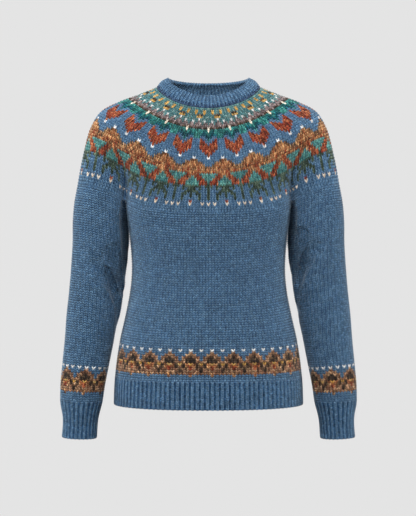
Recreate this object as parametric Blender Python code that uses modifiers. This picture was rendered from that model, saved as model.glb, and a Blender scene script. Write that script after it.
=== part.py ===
"""Icelandic yoke sweater: hollow knitted tubes, joined at a round yoke, as worn with the arms down.

The front faces -Y, +X is the wearer's left, and +Z is up. The origin is the middle of the neck
opening, at the height where the garment bears on the shoulders. Tables are in millimetres, and
"drop" is the distance below the origin. Each tube is an open surface through ovals read from its
table, given its wall by Solidify.
"""

import math
from bisect import bisect_right
from collections import namedtuple

import bpy

MM = 0.001
WALL = 3.0  # thickness of the knitted wool
BAND_WALL = 4.0  # the neckband is a little thicker
SEAM = 0.3  # space left between two pieces where they are joined
SEAM_RISE = 0.8  # the same, measured upwards at the join, where both the edge and the walls slope
SLEEVE_CLEAR = 1.2  # space between the hanging sleeve and the body beside it
CLEAR_LENGTH = 14.0  # how far below the underarm that space takes to open
SOFTENING = 0.8  # rounding where the sleeve and the body press on each other
UNDERARM_HALF = 36.0  # half of the underarm join, from front to back
HEM_SEAM = 538.0  # drop of the line where the hem rib begins
HEM_EDGE = 588.0  # drop of the bottom edge
CUFF_SEAM = 580.0  # drop of the line where the cuff begins, on the sleeve's axis
CUFF_GAP = 0.8  # space at that line, where the sleeve narrows into the cuff
CUFF_EDGE = 648.0  # drop of the cuff's edge
CUFF_TILT = 0.04  # how much a cuff's edge falls for each step towards the body

# Stitch rounds of the yoke are shared out in 20 repeats: 2.85 of them lie between the front
# middle and the crease at each sleeve, and 5 between the front middle and the shoulder.
QUARTER = 0.25
CREASE_AT = 2.85 / 20
CREASE_HALF = 0.0025

CHEST_STEPS = 10  # segments from the front or back middle to the crease
ARM_STEPS = 8  # segments from the crease to the outer side of the sleeve
UNDERARM_STEPS = 4
YOKE_ROWS = 11
BODY_ROWS = 9
SLEEVE_ROWS = 12
RIB_ROWS = 2
CUFF_ROWS = 3
BAND_ROWS = 3
BAND_STEPS = 48

TrunkRow = namedtuple("TrunkRow", "drop half_width front back fullness")
TRUNK = (
    TrunkRow(205, 156.5, 119.0, 104.0, 2.60),
    TrunkRow(238, 154.0, 118.0, 103.0, 2.60),
    TrunkRow(262, 150.5, 115.0, 99.5, 2.50),
    TrunkRow(284, 147.2, 112.0, 96.0, 2.50),
    TrunkRow(310, 144.5, 109.0, 92.5, 2.40),
    TrunkRow(345, 143.5, 107.0, 91.0, 2.40),
    TrunkRow(378, 146.5, 107.5, 93.0, 2.35),
    TrunkRow(423, 155.0, 111.0, 99.0, 2.30),
    TrunkRow(468, 165.0, 115.5, 107.0, 2.30),
    TrunkRow(513, 172.0, 118.5, 112.0, 2.30),
    TrunkRow(557, 176.0, 120.0, 115.0, 2.30),
    TrunkRow(588, 177.0, 120.0, 115.5, 2.30),
)

SleeveRow = namedtuple("SleeveRow", "drop middle_x middle_y outer inner depth press")
SLEEVE = (
    SleeveRow(178, 199.0, 0.0, 45.0, 46.0, 62.0, 2.8),
    SleeveRow(215, 200.5, 1.0, 50.5, 48.0, 63.0, 3.0),
    SleeveRow(250, 202.0, 2.0, 52.0, 51.0, 62.0, 2.8),
    SleeveRow(288, 202.5, 3.0, 52.0, 52.4, 60.0, 2.4),
    SleeveRow(333, 206.3, 4.0, 51.0, 51.0, 58.0, 2.2),
    SleeveRow(378, 211.4, 4.0, 49.6, 49.6, 56.0, 2.2),
    SleeveRow(423, 216.6, 2.0, 49.1, 49.1, 54.0, 2.2),
    SleeveRow(468, 222.2, -3.0, 46.3, 46.3, 50.0, 2.2),
    SleeveRow(513, 228.2, -9.0, 44.0, 44.0, 47.0, 2.2),
    SleeveRow(557, 233.9, -15.0, 41.4, 41.4, 43.5, 2.2),
    SleeveRow(585, 235.7, -18.5, 39.2, 39.2, 41.0, 2.2),
    SleeveRow(612, 236.6, -22.0, 33.4, 33.4, 35.5, 2.2),
    SleeveRow(655, 239.2, -26.0, 32.6, 32.6, 33.5, 2.2),
)
SLEEVE_FULLNESS = 2.2

# The line between the sleeve and the body: they press on each other down to a drop of 290, and
# further down they part.
TouchRow = namedtuple("TouchRow", "drop x")
TOUCH = (
    TouchRow(200, 156.0),
    TouchRow(215, 154.0),
    TouchRow(240, 151.2),
    TouchRow(262, 149.4),
    TouchRow(290, 148.2),
    TouchRow(330, 149.4),
    TouchRow(378, 154.5),
    TouchRow(468, 170.5),
    TouchRow(557, 184.3),
    TouchRow(655, 195.0),
)

# The round on which body and sleeves are joined to the yoke, by distance from the middle.
JoinRow = namedtuple("JoinRow", "x drop")
JOIN = (
    JoinRow(0, 238.0),
    JoinRow(80, 234.5),
    JoinRow(130, 225.0),
    JoinRow(150, 215.0),
    JoinRow(158, 209.0),
    JoinRow(172, 200.0),
    JoinRow(200, 190.5),
    JoinRow(225, 184.5),
    JoinRow(252, 179.0),
)

# The yoke's rounds from the neck seam (0) to the join (1). The bend is how quickly a round
# leaves its lowest point, at the front and back middle, to climb to the shoulder.
CapeRow = namedtuple("CapeRow", "down side side_drop front front_drop back back_drop bend")
CAPE = (
    CapeRow(0.00, 97.0, -2.0, 75.0, 46.0, 70.0, 5.0, 1.35),
    CapeRow(0.15, 133.0, 12.5, 87.2, 73.0, 83.5, 38.0, 1.70),
    CapeRow(0.30, 169.0, 26.3, 97.0, 101.4, 93.8, 72.5, 2.00),
    CapeRow(0.45, 202.4, 45.0, 105.0, 130.0, 101.4, 107.0, 2.30),
    CapeRow(0.60, 222.0, 78.0, 111.6, 159.0, 105.8, 142.5, 2.40),
    CapeRow(0.75, 231.8, 115.0, 116.7, 188.0, 106.6, 178.5, 2.40),
    CapeRow(0.90, 239.5, 153.0, 119.0, 218.0, 105.0, 214.0, 2.40),
    CapeRow(1.00, 244.0, 180.0, 118.0, 238.0, 103.0, 238.0, 2.40),
)
CREASE_STARTS = 0.48  # how far down the yoke the creases at the sleeves begin
CREASE_DRIFT = 0.055  # how far they lean to the shoulder, in shares of the round

# The neckband's rounds, from its seam (0) to its top edge (1).
BandRow = namedtuple("BandRow", "up side side_rise front front_rise back back_rise bend")
BAND = (
    BandRow(0.0, 96.6, 2.4, 74.8, -45.4, 69.8, -4.6, 1.35),
    BandRow(0.5, 88.3, 13.2, 69.5, -33.5, 66.0, 7.5, 1.35),
    BandRow(1.0, 74.5, 20.2, 60.5, -21.5, 59.0, 17.5, 1.35),
)

WOOL_BLUE = (0.075, 0.165, 0.335, 1.0)
YOKE_BLUE = (0.090, 0.190, 0.330, 1.0)
RIB_BLUE = (0.065, 0.145, 0.300, 1.0)


def read(table, name, at):
    """One column of a table, by smooth curves through its rows; the first column is the key."""
    keys = [row[0] for row in table]
    values = [getattr(row, name) for row in table]
    at = min(max(at, keys[0]), keys[-1])
    i = min(bisect_right(keys, at) - 1, len(keys) - 2)
    steps = [(values[k + 1] - values[k]) / (keys[k + 1] - keys[k]) for k in range(len(keys) - 1)]

    def slope(k):
        if k in (0, len(keys) - 1):
            return steps[min(k, len(steps) - 1)]
        before = keys[k] - keys[k - 1]
        after = keys[k + 1] - keys[k]
        return (steps[k - 1] * after + steps[k] * before) / (before + after)

    span = keys[i + 1] - keys[i]
    t = (at - keys[i]) / span
    start = (1 + 2 * t) * (1 - t) ** 2 * values[i] + t * (1 - t) ** 2 * span * slope(i)
    end = t * t * (3 - 2 * t) * values[i + 1] + t * t * (t - 1) * span * slope(i + 1)
    return start + end


def ease(t):
    """0 to 1, level at both ends."""
    t = min(max(t, 0.0), 1.0)
    return t * t * (3 - 2 * t)


def power(value, exponent):
    return math.copysign(abs(value) ** exponent, value)


def excess(value, limit):
    """How far a value goes past a limit, softly."""
    over = value - limit
    return (over + math.sqrt(over * over + SOFTENING**2)) / 2


def touch_gap(drop):
    """Half of the space between sleeve and body: a seam at the underarm, wider below it."""
    below = drop - read(JOIN, "drop", read(TOUCH, "x", drop))
    return (SEAM + (SLEEVE_CLEAR - SEAM) * ease(below / CLEAR_LENGTH)) / 2


def trunk(turn, drop):
    """The body's surface at an angle from the front middle, positive towards +X."""
    half_width, fullness = (read(TRUNK, c, drop) for c in ("half_width", "fullness"))
    y_side = read(TRUNK, "front" if math.cos(turn) > 0 else "back", drop)
    x = half_width * power(math.sin(turn), 2 / fullness)
    y = -y_side * power(math.cos(turn), 2 / fullness)
    limit = read(TOUCH, "x", drop) - touch_gap(drop)
    return math.copysign(abs(x) - excess(abs(x), limit), x), y, -drop


def sleeve(turn, drop):
    """The left sleeve's surface at an angle from its front, positive towards its outer side."""
    outside = math.sin(turn) > 0
    wide = read(SLEEVE, "outer" if outside else "inner", drop)
    fullness = SLEEVE_FULLNESS if outside else read(SLEEVE, "press", drop)
    x = read(SLEEVE, "middle_x", drop) + wide * power(math.sin(turn), 2 / fullness)
    y = read(SLEEVE, "middle_y", drop)
    y -= read(SLEEVE, "depth", drop) * power(math.cos(turn), 2 / fullness)
    limit = read(TOUCH, "x", drop) + touch_gap(drop)
    return x + excess(-x, -limit), y, -drop


def at_join(surface, turn):
    """The point where a surface meets the joining round."""
    x = surface(turn, JOIN[0].drop)[0]
    for _ in range(8):
        x = surface(turn, read(JOIN, "drop", abs(x)))[0]
    return surface(turn, read(JOIN, "drop", abs(x)))


def turn_at(surface, y, low, high):
    """The angle at which a surface's joining round reaches y, between two angles."""
    rising = at_join(surface, high)[1] > at_join(surface, low)[1]
    for _ in range(40):
        middle = (low + high) / 2
        if (at_join(surface, middle)[1] < y) == rising:
            low = middle
        else:
            high = middle
    return (low + high) / 2


def evenly(surface, start, end, steps):
    """Angles that divide a stretch of a surface's joining round into equal lengths."""
    fine = 160
    angles = [start + (end - start) * k / fine for k in range(fine + 1)]
    points = [at_join(surface, a) for a in angles]
    lengths = [0.0]
    for a, b in zip(points, points[1:]):
        lengths.append(lengths[-1] + math.dist(a, b))
    found = []
    for k in range(steps + 1):
        goal = lengths[-1] * k / steps
        i = min(bisect_right(lengths, goal) - 1, fine - 1)
        share = (goal - lengths[i]) / (lengths[i + 1] - lengths[i])
        found.append(angles[i] + (angles[i + 1] - angles[i]) * share)
    return found


HALF_TURN = math.pi
TRUNK_FRONT = turn_at(trunk, -UNDERARM_HALF, 0.0, HALF_TURN / 2)
TRUNK_BACK = turn_at(trunk, UNDERARM_HALF, HALF_TURN / 2, HALF_TURN)
SLEEVE_FRONT = turn_at(sleeve, -UNDERARM_HALF, -HALF_TURN / 2, 0.0)
SLEEVE_BACK = turn_at(sleeve, UNDERARM_HALF, HALF_TURN, 1.5 * HALF_TURN)
CHEST_TURNS = evenly(trunk, 0.0, TRUNK_FRONT, CHEST_STEPS)
BACK_TURNS = evenly(trunk, HALF_TURN, TRUNK_BACK, CHEST_STEPS)
ARM_FRONT_TURNS = evenly(sleeve, SLEEVE_FRONT, HALF_TURN / 2, ARM_STEPS)
ARM_BACK_TURNS = evenly(sleeve, SLEEVE_BACK, HALF_TURN / 2, ARM_STEPS)


def spread(turns, share):
    """The angle at a share, from 0 to 1, of a list of evenly spaced angles."""
    place = min(max(share, 0.0), 1.0) * (len(turns) - 1)
    i = min(int(place), len(turns) - 2)
    return turns[i] + (turns[i + 1] - turns[i]) * (place - i)


def join_point(share):
    """The joining round in the left half, from 0 at the front middle to 0.5 at the back middle."""
    front = share <= QUARTER
    near = share if front else 0.5 - share
    chest = CHEST_TURNS if front else BACK_TURNS
    arm = ARM_FRONT_TURNS if front else ARM_BACK_TURNS
    chest_end = CREASE_AT - CREASE_HALF
    arm_start = CREASE_AT + CREASE_HALF
    if near <= chest_end:
        return at_join(trunk, spread(chest, near / chest_end))
    if near >= arm_start:
        return at_join(sleeve, spread(arm, (near - arm_start) / (QUARTER - arm_start)))
    a, b = at_join(trunk, chest[-1]), at_join(sleeve, arm[0])
    t = (near - chest_end) / (arm_start - chest_end)
    return tuple(p + (q - p) * t for p, q in zip(a, b))


def ellipse_angle(share, wide, deep):
    """The angle at a share of the round of an ellipse, with equal lengths for equal shares."""
    fine = 48
    angles = [HALF_TURN / 2 * k / fine for k in range(fine + 1)]
    lengths = [0.0]
    for a, b in zip(angles, angles[1:]):
        middle = (a + b) / 2
        lengths.append(lengths[-1] + math.hypot(wide * math.cos(middle), deep * math.sin(middle)))
    goal = lengths[-1] * share / QUARTER
    i = min(bisect_right(lengths, goal) - 1, fine - 1)
    return angles[i] + (angles[i + 1] - angles[i]) * (goal - lengths[i]) / (lengths[i + 1] - lengths[i])


def leaning(near, down):
    """How far the crease has moved to the shoulder, at a share from the front or back middle."""
    return CREASE_DRIFT * (1 - down) * math.sin(HALF_TURN * near / QUARTER) ** 2


def yoke(share, down):
    """The yoke's surface: a share of the round from the front middle, and how far down it is."""
    side = -1 if share < 0 else 1
    share = abs(share)
    front = share <= QUARTER
    near = share if front else 0.5 - share
    half = "front" if front else "back"
    wide, deep = read(CAPE, "side", down), read(CAPE, half, down)
    high, low = read(CAPE, "side_drop", down), read(CAPE, half + "_drop", down)
    angle = ellipse_angle(near, wide, deep)
    cape_x, cape_y = wide * math.sin(angle), deep * math.cos(angle)
    cape_drop = high + (low - high) * math.cos(angle) ** read(CAPE, "bend", down)

    lobe_share = near - leaning(near, down)
    x, y, z = join_point(lobe_share if front else 0.5 - lobe_share)
    end = CAPE[-1]
    end_deep, end_low = getattr(end, half), getattr(end, half + "_drop")
    lobe_x, lobe_y = x * wide / end.side, abs(y) * deep / end_deep
    lobe_drop = high + (low - high) * (-z - end.side_drop) / (end_low - end.side_drop)

    lobed = ease((down - CREASE_STARTS) / (1 - CREASE_STARTS))
    x = cape_x + (lobe_x - cape_x) * lobed
    y = (cape_y + (lobe_y - cape_y) * lobed) * (-1 if front else 1)
    drop = cape_drop + (lobe_drop - cape_drop) * lobed - SEAM_RISE * lobed
    return side * x, y, -drop


def band(turn, up):
    """The neckband's surface, at an angle from the front middle."""
    half = "front" if math.cos(turn) > 0 else "back"
    deep, low = read(BAND, half, up), read(BAND, half + "_rise", up)
    high = read(BAND, "side_rise", up)
    x = read(BAND, "side", up) * math.sin(turn)
    rise = high + (low - high) * abs(math.cos(turn)) ** read(BAND, "bend", up)
    return x, -deep * math.cos(turn), rise


def yoke_ring(down):
    """A round of the yoke, with corners over those of the joining round, as the creases lean."""
    chest_end, arm_start = CREASE_AT - CREASE_HALF, CREASE_AT + CREASE_HALF
    corners = [chest_end * k / CHEST_STEPS for k in range(CHEST_STEPS + 1)]
    corners += [arm_start + (QUARTER - arm_start) * k / ARM_STEPS for k in range(ARM_STEPS + 1)]
    quarter = []
    for corner in corners:
        near = corner
        for _ in range(6):
            near = corner + leaning(near, down)
        quarter.append(near)
    left = quarter + [0.5 - s for s in reversed(quarter[:-1])]
    return [yoke(s, down) for s in left + [-s for s in reversed(left[1:-1])]]


def trunk_turns():
    """Angles all the way round the body: chest, underarm, back, and the same on the other side."""
    step = (TRUNK_BACK - TRUNK_FRONT) / UNDERARM_STEPS
    underarm = [TRUNK_FRONT + step * k for k in range(1, UNDERARM_STEPS)]
    left = CHEST_TURNS + underarm + list(reversed(BACK_TURNS))
    return left + [-a for a in reversed(left[1:-1])]


def sleeve_turns():
    """Angles all the way round the sleeve, from the front crease over its outer side."""
    inner_start, inner_end = SLEEVE_BACK, SLEEVE_FRONT + 2 * HALF_TURN
    step = (inner_end - inner_start) / UNDERARM_STEPS
    underarm = [inner_start + step * k for k in range(1, UNDERARM_STEPS)]
    return ARM_FRONT_TURNS + list(reversed(ARM_BACK_TURNS))[1:] + underarm


def trunk_rings(start, end, rows):
    """Rounds of the body. A start of None is the joining round."""
    rings = []
    for k in range(rows + 1):
        ring = []
        for turn in trunk_turns():
            top = -at_join(trunk, turn)[2] if start is None else start
            ring.append(trunk(turn, top + (end - top) * k / rows))
        rings.append(ring)
    return rings


def tilted(turn, drop):
    """The drop at an angle of a sleeve's round that falls towards the body."""
    middle = read(SLEEVE, "middle_x", drop)
    return drop - CUFF_TILT * (sleeve(turn, drop)[0] - middle)


def sleeve_rings(start, end, rows):
    """Rounds of the left sleeve. A start of None is the joining round."""
    rings = []
    for k in range(rows + 1):
        ring = []
        for turn in sleeve_turns():
            top = -at_join(sleeve, turn)[2] if start is None else tilted(turn, start)
            ring.append(sleeve(turn, top + (tilted(turn, end) - top) * k / rows))
        rings.append(ring)
    return rings


def wool(name, color):
    material = bpy.data.materials.new(name)
    material.use_nodes = True
    surface = material.node_tree.nodes["Principled BSDF"]
    surface.inputs["Base Color"].default_value = color
    surface.inputs["Roughness"].default_value = 0.95
    surface.inputs["Metallic"].default_value = 0.0
    material.diffuse_color = color
    return material


def knitted(name, rings, color, collection, side=1, thick=WALL):
    """A closed wall through rings of points, listed from the top, its thickness laid inwards."""
    points = [(x * side * MM, y * MM, z * MM) for ring in rings for x, y, z in ring]
    around = len(rings[0])
    faces = []
    for row in range(len(rings) - 1):
        for i in range(around):
            j = (i + 1) % around
            corners = [row * around + i, (row + 1) * around + i, (row + 1) * around + j, row * around + j]
            faces.append(corners if side > 0 else corners[::-1])
    mesh = bpy.data.meshes.new(name)
    mesh.from_pydata(points, [], faces)
    mesh.shade_smooth()
    mesh.materials.append(wool(name + "_wool", color))
    piece = bpy.data.objects.new(name, mesh)
    collection.objects.link(piece)
    wall = piece.modifiers.new("wall", "SOLIDIFY")
    wall.thickness = thick * MM
    wall.offset = -1.0
    wall.use_even_offset = True
    wall.thickness_clamp = 1.0
    return piece


def clear_scene():
    for item in list(bpy.data.objects):
        bpy.data.objects.remove(item, do_unlink=True)


def main():
    clear_scene()
    sweater = bpy.data.collections.new("icelandic_sweater")
    bpy.context.scene.collection.children.link(sweater)

    band_turns = [2 * HALF_TURN * k / BAND_STEPS for k in range(BAND_STEPS)]
    band_rings = [[band(a, 1 - k / BAND_ROWS) for a in band_turns] for k in range(BAND_ROWS + 1)]
    knitted("neckband", band_rings, RIB_BLUE, sweater, thick=BAND_WALL)

    yoke_rings = [yoke_ring(k / YOKE_ROWS) for k in range(YOKE_ROWS + 1)]
    knitted("yoke", yoke_rings, YOKE_BLUE, sweater)

    knitted("body", trunk_rings(None, HEM_SEAM, BODY_ROWS), WOOL_BLUE, sweater)
    hem_rings = trunk_rings(HEM_SEAM + SEAM, HEM_EDGE, RIB_ROWS)
    knitted("hem_rib", hem_rings, RIB_BLUE, sweater)

    arm_rings = sleeve_rings(None, CUFF_SEAM, SLEEVE_ROWS)
    cuff_rings = sleeve_rings(CUFF_SEAM + CUFF_GAP, CUFF_EDGE, CUFF_ROWS)
    for name, side in (("left", 1), ("right", -1)):
        knitted("sleeve_" + name, arm_rings, WOOL_BLUE, sweater, side)
        knitted("cuff_" + name, cuff_rings, RIB_BLUE, sweater, side)


main()
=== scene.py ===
"""Looks of the Icelandic yoke sweater: its knitting, stitch by stitch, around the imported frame.

The front faces -Y, +X is the wearer's left, and +Z is up. The origin is the middle of the neck
opening. Tables are in millimetres, and "drop" is the distance below the origin. Each piece is a
closed shell knitted in rounds: its outer side has every stitch as two legs of a V, its inner
side is plainer, and both follow the same smooth form.
"""

import math
from collections import namedtuple

import bpy
import numpy as np
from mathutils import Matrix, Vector


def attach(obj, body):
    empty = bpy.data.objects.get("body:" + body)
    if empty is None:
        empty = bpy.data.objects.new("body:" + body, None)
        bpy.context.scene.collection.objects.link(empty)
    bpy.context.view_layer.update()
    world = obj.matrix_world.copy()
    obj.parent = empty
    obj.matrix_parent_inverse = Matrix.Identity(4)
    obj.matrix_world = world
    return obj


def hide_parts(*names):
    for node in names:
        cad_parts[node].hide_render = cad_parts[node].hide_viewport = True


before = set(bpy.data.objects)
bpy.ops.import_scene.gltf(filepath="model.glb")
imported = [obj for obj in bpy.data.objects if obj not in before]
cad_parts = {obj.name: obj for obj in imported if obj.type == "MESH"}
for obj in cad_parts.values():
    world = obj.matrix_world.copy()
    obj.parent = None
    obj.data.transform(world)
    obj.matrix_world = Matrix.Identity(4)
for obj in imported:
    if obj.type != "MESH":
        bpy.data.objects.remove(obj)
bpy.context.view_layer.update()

MM = 0.001
HALF_TURN = math.pi

# ---------------------------------------------------------------- the garment's form

SEAM = 0.3  # space left between two pieces where they are joined
SLEEVE_CLEAR = 1.2  # space between the hanging sleeve and the body beside it
CLEAR_LENGTH = 14.0  # how far below the underarm that space takes to open
SOFTENING = 0.8  # rounding where the sleeve and the body press on each other
UNDERARM_HALF = 36.0  # half of the underarm join, from front to back
HEM_SEAM = 538.0  # drop of the line where the hem rib begins
HEM_EDGE = 588.0  # drop of the bottom edge
CUFF_SEAM = 580.0  # drop of the line where the cuff begins, on the sleeve's axis
CUFF_EDGE = 648.0  # drop of the cuff's edge
CUFF_TILT = 0.04  # how much a cuff's edge falls for each step towards the body
QUARTER = 0.25  # a quarter of a round
CREASE_AT = 2.85 / 20  # the crease at the sleeve, as a share of the yoke's round
CREASE_HALF = 0.0025  # half of its width
CHEST_END = CREASE_AT - CREASE_HALF
ARM_START = CREASE_AT + CREASE_HALF
CREASE_STARTS = 0.48  # how far down the yoke the creases at the sleeves begin
CREASE_DRIFT = 0.055  # how far they lean to the shoulder, in shares of the round
SLEEVE_FULLNESS = 2.2  # how square the sleeve's outer side is, where 2 is an ellipse
FINE = 721  # points on a finely divided round
JOIN_PASSES = 8  # steps that bring a point of a surface onto the joining round
NUDGE = 0.0008  # share of the round by which neighbours lie off, to find a surface's direction


def table(columns, *rows):
    """Rows with named columns."""
    Row = namedtuple("Row", columns)
    return [Row(*row) for row in rows]


TRUNK = table(
    "drop half_width front back fullness",
    (205, 156.5, 119.0, 104.0, 2.60),
    (238, 154.0, 118.0, 103.0, 2.60),
    (262, 150.5, 115.0, 99.5, 2.50),
    (284, 147.2, 112.0, 96.0, 2.50),
    (310, 144.5, 109.0, 92.5, 2.40),
    (345, 143.5, 107.0, 91.0, 2.40),
    (378, 146.5, 107.5, 93.0, 2.35),
    (423, 155.0, 111.0, 99.0, 2.30),
    (468, 165.0, 115.5, 107.0, 2.30),
    (513, 172.0, 118.5, 112.0, 2.30),
    (557, 176.0, 120.0, 115.0, 2.30),
    (588, 177.0, 120.0, 115.5, 2.30),
)

SLEEVE = table(
    "drop middle_x middle_y outer inner depth press",
    (178, 199.0, 0.0, 45.0, 46.0, 62.0, 2.8),
    (215, 200.5, 1.0, 50.5, 48.0, 63.0, 3.0),
    (250, 202.0, 2.0, 52.0, 51.0, 62.0, 2.8),
    (288, 202.5, 3.0, 52.0, 52.4, 60.0, 2.4),
    (333, 206.3, 4.0, 51.0, 51.0, 58.0, 2.2),
    (378, 211.4, 4.0, 49.6, 49.6, 56.0, 2.2),
    (423, 216.6, 2.0, 49.1, 49.1, 54.0, 2.2),
    (468, 222.2, -3.0, 46.3, 46.3, 50.0, 2.2),
    (513, 228.2, -9.0, 44.0, 44.0, 47.0, 2.2),
    (557, 233.9, -15.0, 41.4, 41.4, 43.5, 2.2),
    (585, 235.7, -18.5, 39.2, 39.2, 41.0, 2.2),
    (612, 236.6, -22.0, 33.4, 33.4, 35.5, 2.2),
    (655, 239.2, -26.0, 32.6, 32.6, 33.5, 2.2),
)

# The line between the sleeve and the body beside it.
TOUCH = table(
    "drop x",
    (200, 156.0), (215, 154.0), (240, 151.2), (262, 149.4), (290, 148.2),
    (330, 149.4), (378, 154.5), (468, 170.5), (557, 184.3), (655, 195.0),
)

# The round on which body and sleeves are joined to the yoke, by distance from the middle.
JOIN = table(
    "x drop",
    (0, 238.0), (80, 234.5), (130, 225.0), (150, 215.0), (158, 209.0),
    (172, 200.0), (200, 190.5), (225, 184.5), (252, 179.0),
)

# The yoke's rounds from the neck seam (0) to the join (1).
CAPE = table(
    "down side side_drop front front_drop back back_drop bend",
    (0.00, 97.0, -2.0, 75.0, 46.0, 70.0, 5.0, 1.35),
    (0.15, 133.0, 12.5, 87.2, 73.0, 83.5, 38.0, 1.70),
    (0.30, 169.0, 26.3, 97.0, 101.4, 93.8, 72.5, 2.00),
    (0.45, 202.4, 45.0, 105.0, 130.0, 101.4, 107.0, 2.30),
    (0.60, 222.0, 78.0, 111.6, 159.0, 105.8, 142.5, 2.40),
    (0.75, 231.8, 115.0, 116.7, 188.0, 106.6, 178.5, 2.40),
    (0.90, 239.5, 153.0, 119.0, 218.0, 105.0, 214.0, 2.40),
    (1.00, 244.0, 180.0, 118.0, 238.0, 103.0, 238.0, 2.40),
)

# The neckband's rounds, from its seam (0) to its top edge (1).
BAND = table(
    "up side side_rise front front_rise back back_rise bend",
    (0.0, 97.0, 2.0, 75.0, -46.0, 70.0, -5.0, 1.35),
    (0.5, 88.3, 13.2, 69.5, -33.5, 66.0, 7.5, 1.35),
    (1.0, 74.5, 20.2, 60.5, -21.5, 59.0, 17.5, 1.35),
)


def fold(*points):
    """A soft fold pressed into a sleeve, as a path of points: the angle round the sleeve, in
    degrees from its front and positive outwards, the drop, and the trough's depth and reach to
    either side."""
    return table("turn drop depth reach", *points)


# Each sleeve has its main fold at the elbow, a broad trough above it, a short fold below it, a
# long tuck beside the body, and two folds behind.
FOLDS = {
    "left": (
        fold(
            (-4, 286, 0.8, 12), (-16, 305, 4.5, 12), (-33, 327, 11, 14),
            (-53, 349, 14, 15), (-70, 374, 9, 15), (-83, 410, 2, 16),
        ),
        fold((-26, 262, 1, 18), (-40, 292, 7, 20), (-58, 322, 9.5, 20), (-78, 352, 5, 18)),
        fold((-18, 392, 0.8, 9), (-42, 404, 2.2, 9), (-66, 420, 0.8, 10)),
        fold(
            (-60, 213, 1, 12), (-62, 232, 6, 16), (-66, 258, 8.5, 20),
            (-72, 290, 8, 20), (-80, 330, 5, 18), (-82, 362, 1.5, 14),
        ),
        fold((-168, 312, 0.8, 12), (-140, 336, 4.5, 12), (-108, 356, 3, 13)),
        fold((-158, 388, 0.8, 9), (-130, 402, 2.4, 10), (-104, 426, 0.8, 11)),
    ),
    "right": (
        fold(
            (6, 314, 0.8, 12), (-8, 335, 4.5, 12), (-28, 357, 11, 14),
            (-52, 379, 14, 15), (-70, 402, 9, 15), (-83, 438, 2, 16),
        ),
        fold((-22, 290, 1, 18), (-36, 322, 7, 20), (-56, 350, 9.5, 20), (-78, 378, 5, 18)),
        fold((2, 378, 0.6, 9), (-18, 388, 1.8, 9), (-34, 402, 0.6, 9)),
        fold(
            (-60, 213, 1, 12), (-62, 232, 6, 16), (-66, 260, 8.5, 20),
            (-72, 296, 8, 20), (-80, 342, 5, 18), (-82, 378, 1.5, 14),
        ),
        fold((-172, 334, 0.8, 12), (-146, 354, 4, 12), (-114, 380, 3.5, 13)),
        fold((-150, 420, 0.8, 10), (-122, 436, 2.2, 10), (-100, 462, 0.8, 11)),
    ),
}
SLEEVE_RADIUS = 50.0  # turns angles round a sleeve into lengths
FOLD_RIDGE = 0.35  # the cloth pushed up beside a fold, as a share of its trough
RIDGE_REACH = 2  # how many times the trough's reach the ridges beside it have


def read(rows, name, at):
    """One column of a table, by smooth curves through its rows; the first column is the key."""
    keys = np.array([row[0] for row in rows], float)
    values = np.array([getattr(row, name) for row in rows], float)
    gaps = np.diff(keys)
    steps = np.diff(values) / gaps
    inner = (steps[:-1] * gaps[1:] + steps[1:] * gaps[:-1]) / (gaps[:-1] + gaps[1:])
    slopes = np.concatenate((steps[:1], inner, steps[-1:]))
    at = np.clip(at, keys[0], keys[-1])
    i = np.clip(np.searchsorted(keys, at, side="right") - 1, 0, len(gaps) - 1)
    t = (at - keys[i]) / gaps[i]
    start = (1 + 2 * t) * (1 - t) ** 2 * values[i] + t * (1 - t) ** 2 * gaps[i] * slopes[i]
    end = t * t * (3 - 2 * t) * values[i + 1] + t * t * (t - 1) * gaps[i] * slopes[i + 1]
    return start + end


def ease(t):
    """0 to 1, level at both ends."""
    t = np.clip(t, 0.0, 1.0)
    return t * t * (3 - 2 * t)


def power(value, exponent):
    """A power that keeps its value's sign."""
    return np.copysign(abs(value) ** exponent, value)


def excess(value, limit):
    """How far a value goes past a limit, softly."""
    over = value - limit
    return (over + np.sqrt(over * over + SOFTENING**2)) / 2


def touch_gap(drop):
    """Half of the space between sleeve and body: a seam at the underarm, wider below it."""
    below = drop - read(JOIN, "drop", read(TOUCH, "x", drop))
    return (SEAM + (SLEEVE_CLEAR - SEAM) * ease(below / CLEAR_LENGTH)) / 2


def trunk(turn, drop):
    """The body's surface at an angle from the front middle, positive towards +X."""
    bend = 2 / read(TRUNK, "fullness", drop)
    deep = np.where(np.cos(turn) > 0, read(TRUNK, "front", drop), read(TRUNK, "back", drop))
    x = read(TRUNK, "half_width", drop) * power(np.sin(turn), bend)
    y = -deep * power(np.cos(turn), bend)
    limit = read(TOUCH, "x", drop) - touch_gap(drop)
    x = np.copysign(abs(x) - excess(abs(x), limit), x)
    return np.stack((x, y, y * 0 - drop), axis=-1)


def sleeve(turn, drop):
    """The left sleeve's surface at an angle from its front, positive towards its outer side."""
    outside = np.sin(turn) > 0
    wide = np.where(outside, read(SLEEVE, "outer", drop), read(SLEEVE, "inner", drop))
    bend = 2 / np.where(outside, SLEEVE_FULLNESS, read(SLEEVE, "press", drop))
    x = read(SLEEVE, "middle_x", drop) + wide * power(np.sin(turn), bend)
    y = read(SLEEVE, "middle_y", drop) - read(SLEEVE, "depth", drop) * power(np.cos(turn), bend)
    limit = read(TOUCH, "x", drop) + touch_gap(drop)
    return np.stack((x + excess(-x, -limit), y, y * 0 - drop), axis=-1)


def at_join(surface, turn):
    """The points where a surface meets the joining round."""
    x = surface(turn, turn * 0 + JOIN[0].drop)[..., 0]
    for _ in range(JOIN_PASSES):
        x = surface(turn, read(JOIN, "drop", abs(x)))[..., 0]
    return surface(turn, read(JOIN, "drop", abs(x)))


def unit(directions):
    """Directions with a length of 1."""
    return directions / np.linalg.norm(directions, axis=-1, keepdims=True)


def running_length(points):
    """How far along a line each of its points is."""
    return np.concatenate(([0.0], np.cumsum(np.linalg.norm(np.diff(points, axis=0), axis=1))))


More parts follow.
